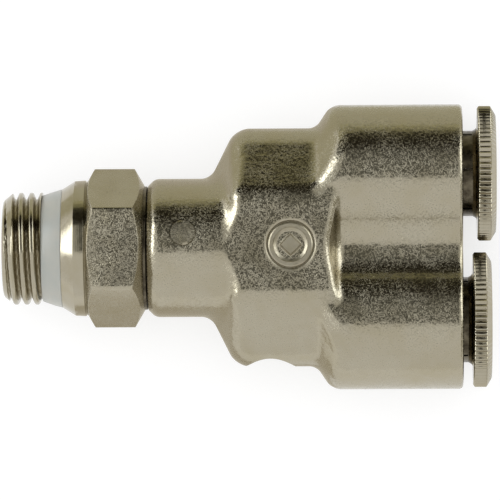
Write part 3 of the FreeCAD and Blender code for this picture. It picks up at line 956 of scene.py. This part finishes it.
def seal_plastic():
    """Milky fluoropolymer, a little translucent."""
    paint = Paint("seal_fluoropolymer", (0.39, 0.39, 0.36), 0.34, 0.0)
    paint.shader.inputs["Subsurface Weight"].default_value = 0.35
    paint.shader.inputs["Subsurface Radius"].default_value = (1.0, 1.0, 1.0)
    paint.shader.inputs["Subsurface Scale"].default_value = 0.5 * MM
    paint.colour_from(paint.ramp(
        paint.noise(0.6, 3.0), (0.30, (0.37, 0.385, 0.36)), (0.70, (0.41, 0.405, 0.36))))
    rings = paint.noise(1.0, 2.0, 0.5, paint.stretched((9.0, 0.4, 0.4)))
    paint.bump(rings, 0.01)
    paint.rough_from(paint.ramp(paint.noise(3.0), (0.3, 0.28), (0.7, 0.40)))
    return paint.material


def seal_rubber():
    """Black O-ring rubber."""
    paint = Paint("nitrile_rubber", (0.022, 0.022, 0.024), 0.5, 0.0)
    paint.bump(paint.noise(6.0, 3.0), 0.006)
    paint.colour_from(paint.ramp(
        paint.noise(1.5, 3.0), (0.3, (0.016, 0.016, 0.017)), (0.7, (0.032, 0.031, 0.030))))
    paint.rough_from(paint.ramp(paint.noise(4.0), (0.3, 0.42), (0.7, 0.6)))
    return paint.material


def spacer_acetal():
    """Natural white acetal of the washers."""
    paint = Paint("natural_acetal", (0.72, 0.70, 0.64), 0.45, 0.0)
    paint.bump(paint.noise(3.0, 3.0), 0.008)
    paint.colour_from(paint.ramp(
        paint.noise(0.7, 3.0), (0.3, (0.68, 0.66, 0.59)), (0.7, (0.76, 0.74, 0.69))))
    paint.rough_from(paint.ramp(paint.noise(3.0), (0.3, 0.38), (0.7, 0.55)))
    return paint.material


# ---------------------------------------------------------------- build and place
def place(piece, body, slot, material, *replaced):
    """Puts a piece on its body in place of CAD nodes, with its first material."""
    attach(piece, body)
    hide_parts(*replaced)
    piece.data.materials.clear()
    piece.data.materials.append(material)


def finish_nodes(material, *names):
    """Gives CAD nodes that stay in view their material."""
    for name in names:
        NODES[name].data.materials.clear()
        NODES[name].data.materials.append(material)


forged = forged_nickel()
turned = turned_nickel()
# painted shade for the metal in the gaps
gap_shade_paint = painted_gap_shade()
body = build_body()
place(body, "housing", "nickel_forged", forged, "y_body")
body.data.materials.append(badge_nickel())
for face in body.data.polygons:
    face.material_index = 1 if in_badge(face) else 0
stem = build_stem()
place(stem, "stem", "nickel", turned, "swivel_stem")
stem.data.materials.append(hexagon_nickel())
# the washer face between hexagon and body gets the painted shade
stem.data.materials.append(gap_shade_paint)
for face in stem.data.polygons:
    if on_hexagon(face):
        face.material_index = 1
    elif HEX_END < face.center.x / MM < body_low[0]:
        face.material_index = 2
    else:
        face.material_index = 0
place(build_seal(), "stem", "seal_white", seal_plastic(), "thread_seal_ring")
for end in ("upper", "lower"):
    collet = build_collet("collet_" + end, "release_collet_" + end)
    place(collet, "release_" + end, "nickel", turned, "collet_" + end)
    # the collet neck between port face and ring gets the painted shade
    collet.data.materials.append(gap_shade_paint)
    gap_shade_end = box_mm("collet_" + end)[0][0] + RING_START - 0.05
    for face in collet.data.polygons:
        face.material_index = 1 if face.center.x / MM < gap_shade_end else 0
pins = pin_nickel()
place(build_pin("front_pin", 0.0), "housing", "nickel", pins, "retaining_pin_front")
place(build_pin("rear_pin", math.pi), "housing", "nickel", pins, "retaining_pin_rear")
finish_nodes(pins, "cross_bore_plug")
finish_nodes(inner_brass(), "cone_bush_upper", "cone_bush_lower")
finish_nodes(seal_rubber(), "swivel_o_ring", "tube_o_ring_upper", "tube_o_ring_lower")
finish_nodes(spacer_acetal(), "seal_spacer_upper", "seal_spacer_lower")


# ---------------------------------------------------------------- studio
def glow_material(name, radiance):
    """A plain emitter."""
    material = bpy.data.materials.new(name)
    material.use_nodes = True
    tree = material.node_tree
    tree.nodes.clear()
    output = tree.nodes.new("ShaderNodeOutputMaterial")
    emission = tree.nodes.new("ShaderNodeEmission")
    emission.inputs["Color"].default_value = (*radiance, 1)
    tree.links.new(emission.outputs["Emission"], output.inputs["Surface"])
    return material


def reflector(card, radiance):
    """Makes a stage card glow for reflections only."""
    card.data.materials.append(glow_material(card.name, radiance))
    card.visible_camera = False
    card.visible_diffuse = False
    card.visible_shadow = False


def sky_card(name, tilt, lean, radiance, distance=0.9):
    """A curved card overhead.

    tilt is its range from the zenith towards +Y, lean its range towards +X, in degrees.
    """
    steps = 24
    points = []
    for row in range(steps + 1):
        a = math.radians(tilt[0] + (tilt[1] - tilt[0]) * row / steps)
        for column in range(steps + 1):
            b = math.radians(lean[0] + (lean[1] - lean[0]) * column / steps)
            way = np.array((math.sin(b), math.cos(b) * math.sin(a), math.cos(b) * math.cos(a)))
            points.append(way * distance / MM)
    faces = []
    for row in range(steps):
        for column in range(steps):
            corner = row * (steps + 1) + column
            faces.append([corner, corner + 1, corner + steps + 2, corner + steps + 1])
    card = link_mesh(name, points, faces)
    reflector(card, radiance)


def build_floor():
    """A pale paper that glows a little, like one lit from all round."""
    reach = 1500.0
    corners = [(-reach, -reach), (reach, -reach), (reach, reach), (-reach, reach)]
    floor = link_mesh("floor", [(x, y, FLOOR_Z / MM) for x, y in corners], [[0, 1, 2, 3]])
    paint = Paint("paper", (0.35, 0.35, 0.35), 0.9, 0.0)
    paint.colour_from(paint.ramp(
        paint.noise(0.05), (0.3, (0.34, 0.34, 0.34)), (0.7, (0.36, 0.36, 0.36))))
    paint.shader.inputs["Emission Color"].default_value = (1.0, 1.0, 1.0, 1)
    paint.shader.inputs["Emission Strength"].default_value = 0.68
    floor.data.materials.append(paint.material)


def floor_card(name, x_range, y_range, lift, radiance):
    """A card just above the paper, which changes only what the metal mirrors of it."""
    z = FLOOR_Z / MM + lift
    corners = [(x_range[0], y_range[0], z), (x_range[1], y_range[0], z),
               (x_range[1], y_range[1], z), (x_range[0], y_range[1], z)]
    reflector(link_mesh(name, corners, [[0, 1, 2, 3]]), radiance)


def floor_cards():
    """Painted shade on the paper as the metal mirrors it: a darker, warmer card beyond the
    fitting on the +Y side, and painted shadow on both sides of it.
    """
    far = 900
    # painted shade: a darker, warmer reflection-only card over the paper on the +Y side
    floor_card("far_floor_shade_card", (-far, far), (16, far), 0.2, (0.70, 0.68, 0.54))
    shade = (0.70, 0.66, 0.57)
    patches = (
        ("neck_shade_", (2, 16.5), (5.0, 12.5), 0.1),
        ("block_shade_", (13, 24.5), (9.5, 15.5), 0.15),
        ("shoulder_shade_", (0, 18), (12.5, 24.0), 0.12),
    )
    for side, end in ((1, "upper"), (-1, "lower")):
        for name, x_range, beside, lift in patches:
            y_range = sorted(side * y for y in beside)
            floor_card(name + end, x_range, y_range, lift, shade)


def build_window(name, way, height, energy):
    """A bright pane that gives the metal its sharpest highlights."""
    distance = 0.6
    width = 0.50
    pane = bpy.data.lights.new(name, "AREA")
    pane.shape = "RECTANGLE"
    pane.size = width
    pane.size_y = height
    pane.energy = energy
    pane.color = (0.92, 0.96, 1.0)
    lamp = bpy.data.objects.new(name, pane)
    way = Vector(way).normalized()
    lamp.location = way * distance
    lamp.rotation_euler = way.to_track_quat("Z", "Y").to_euler()
    lamp.visible_diffuse = False
    bpy.context.scene.collection.objects.link(lamp)


def build_studio():
    """Paper, white surroundings with darker cards overhead, two windows and a soft sun."""
    build_floor()
    world = bpy.data.worlds.new("studio")
    world.use_nodes = True
    sky = world.node_tree.nodes["Background"]
    sky.inputs["Color"].default_value = (1.0, 1.0, 1.0, 1)
    sky.inputs["Strength"].default_value = 1.0
    bpy.context.scene.world = world
    sky_card("overhead_card", (-6, 26), (-8, 8), (0.15, 0.15, 0.135))
    sky_card("overhead_edge", (26, 41), (-8, 8), (0.09, 0.09, 0.08))
    sky_card("left_card", (-6, 41), (-40, -8), (0.70, 0.70, 0.67))
    sky_card("right_card", (-6, 41), (8, 40), (0.70, 0.70, 0.67))
    sky_card("dark_card", (41, 74), (-46, 46), (0.030, 0.026, 0.017))
    sky_card("olive_card", (74, 82), (-40, 40), (0.36, 0.345, 0.21))
    sky_card("horizon_card", (82, 90), (-40, 40), (0.60, 0.58, 0.38))
    sky_card("right_wall", (-80, 90), (40, 88), (0.45, 0.43, 0.36))
    floor_cards()
    build_window("left_window", (-0.82, 0.26, 0.50), 0.30, 1.70)
    build_window("right_window", (0.82, 0.36, 0.42), 0.42, 1.70)
    sun = bpy.data.lights.new("soft_sun", "SUN")
    sun.energy = 0.35
    sun.angle = math.radians(60)
    sun_lamp = bpy.data.objects.new("soft_sun", sun)
    sun_lamp.visible_glossy = False
    bpy.context.scene.collection.objects.link(sun_lamp)
    settings = bpy.context.scene.view_settings
    settings.view_transform = "Standard"
    settings.look = "None"


def build_camera():
    """Looks down on the fitting, from a little towards the ports."""
    distance = 0.5
    width = 43.40
    centre = Vector((17.97, -0.26, 0.0))
    lean = math.radians(1.2)
    roll = math.radians(-0.28)
    camera = bpy.data.objects.new("camera", bpy.data.cameras.new("camera"))
    camera.location = centre * MM + distance * Vector((math.sin(lean), 0, math.cos(lean)))
    camera.rotation_euler = (0, lean, roll)
    camera.data.lens = camera.data.sensor_width * distance / (width * MM)
    camera.data.clip_start = 0.01
    bpy.context.scene.collection.objects.link(camera)
    bpy.context.scene.camera = camera


build_studio()
build_camera()
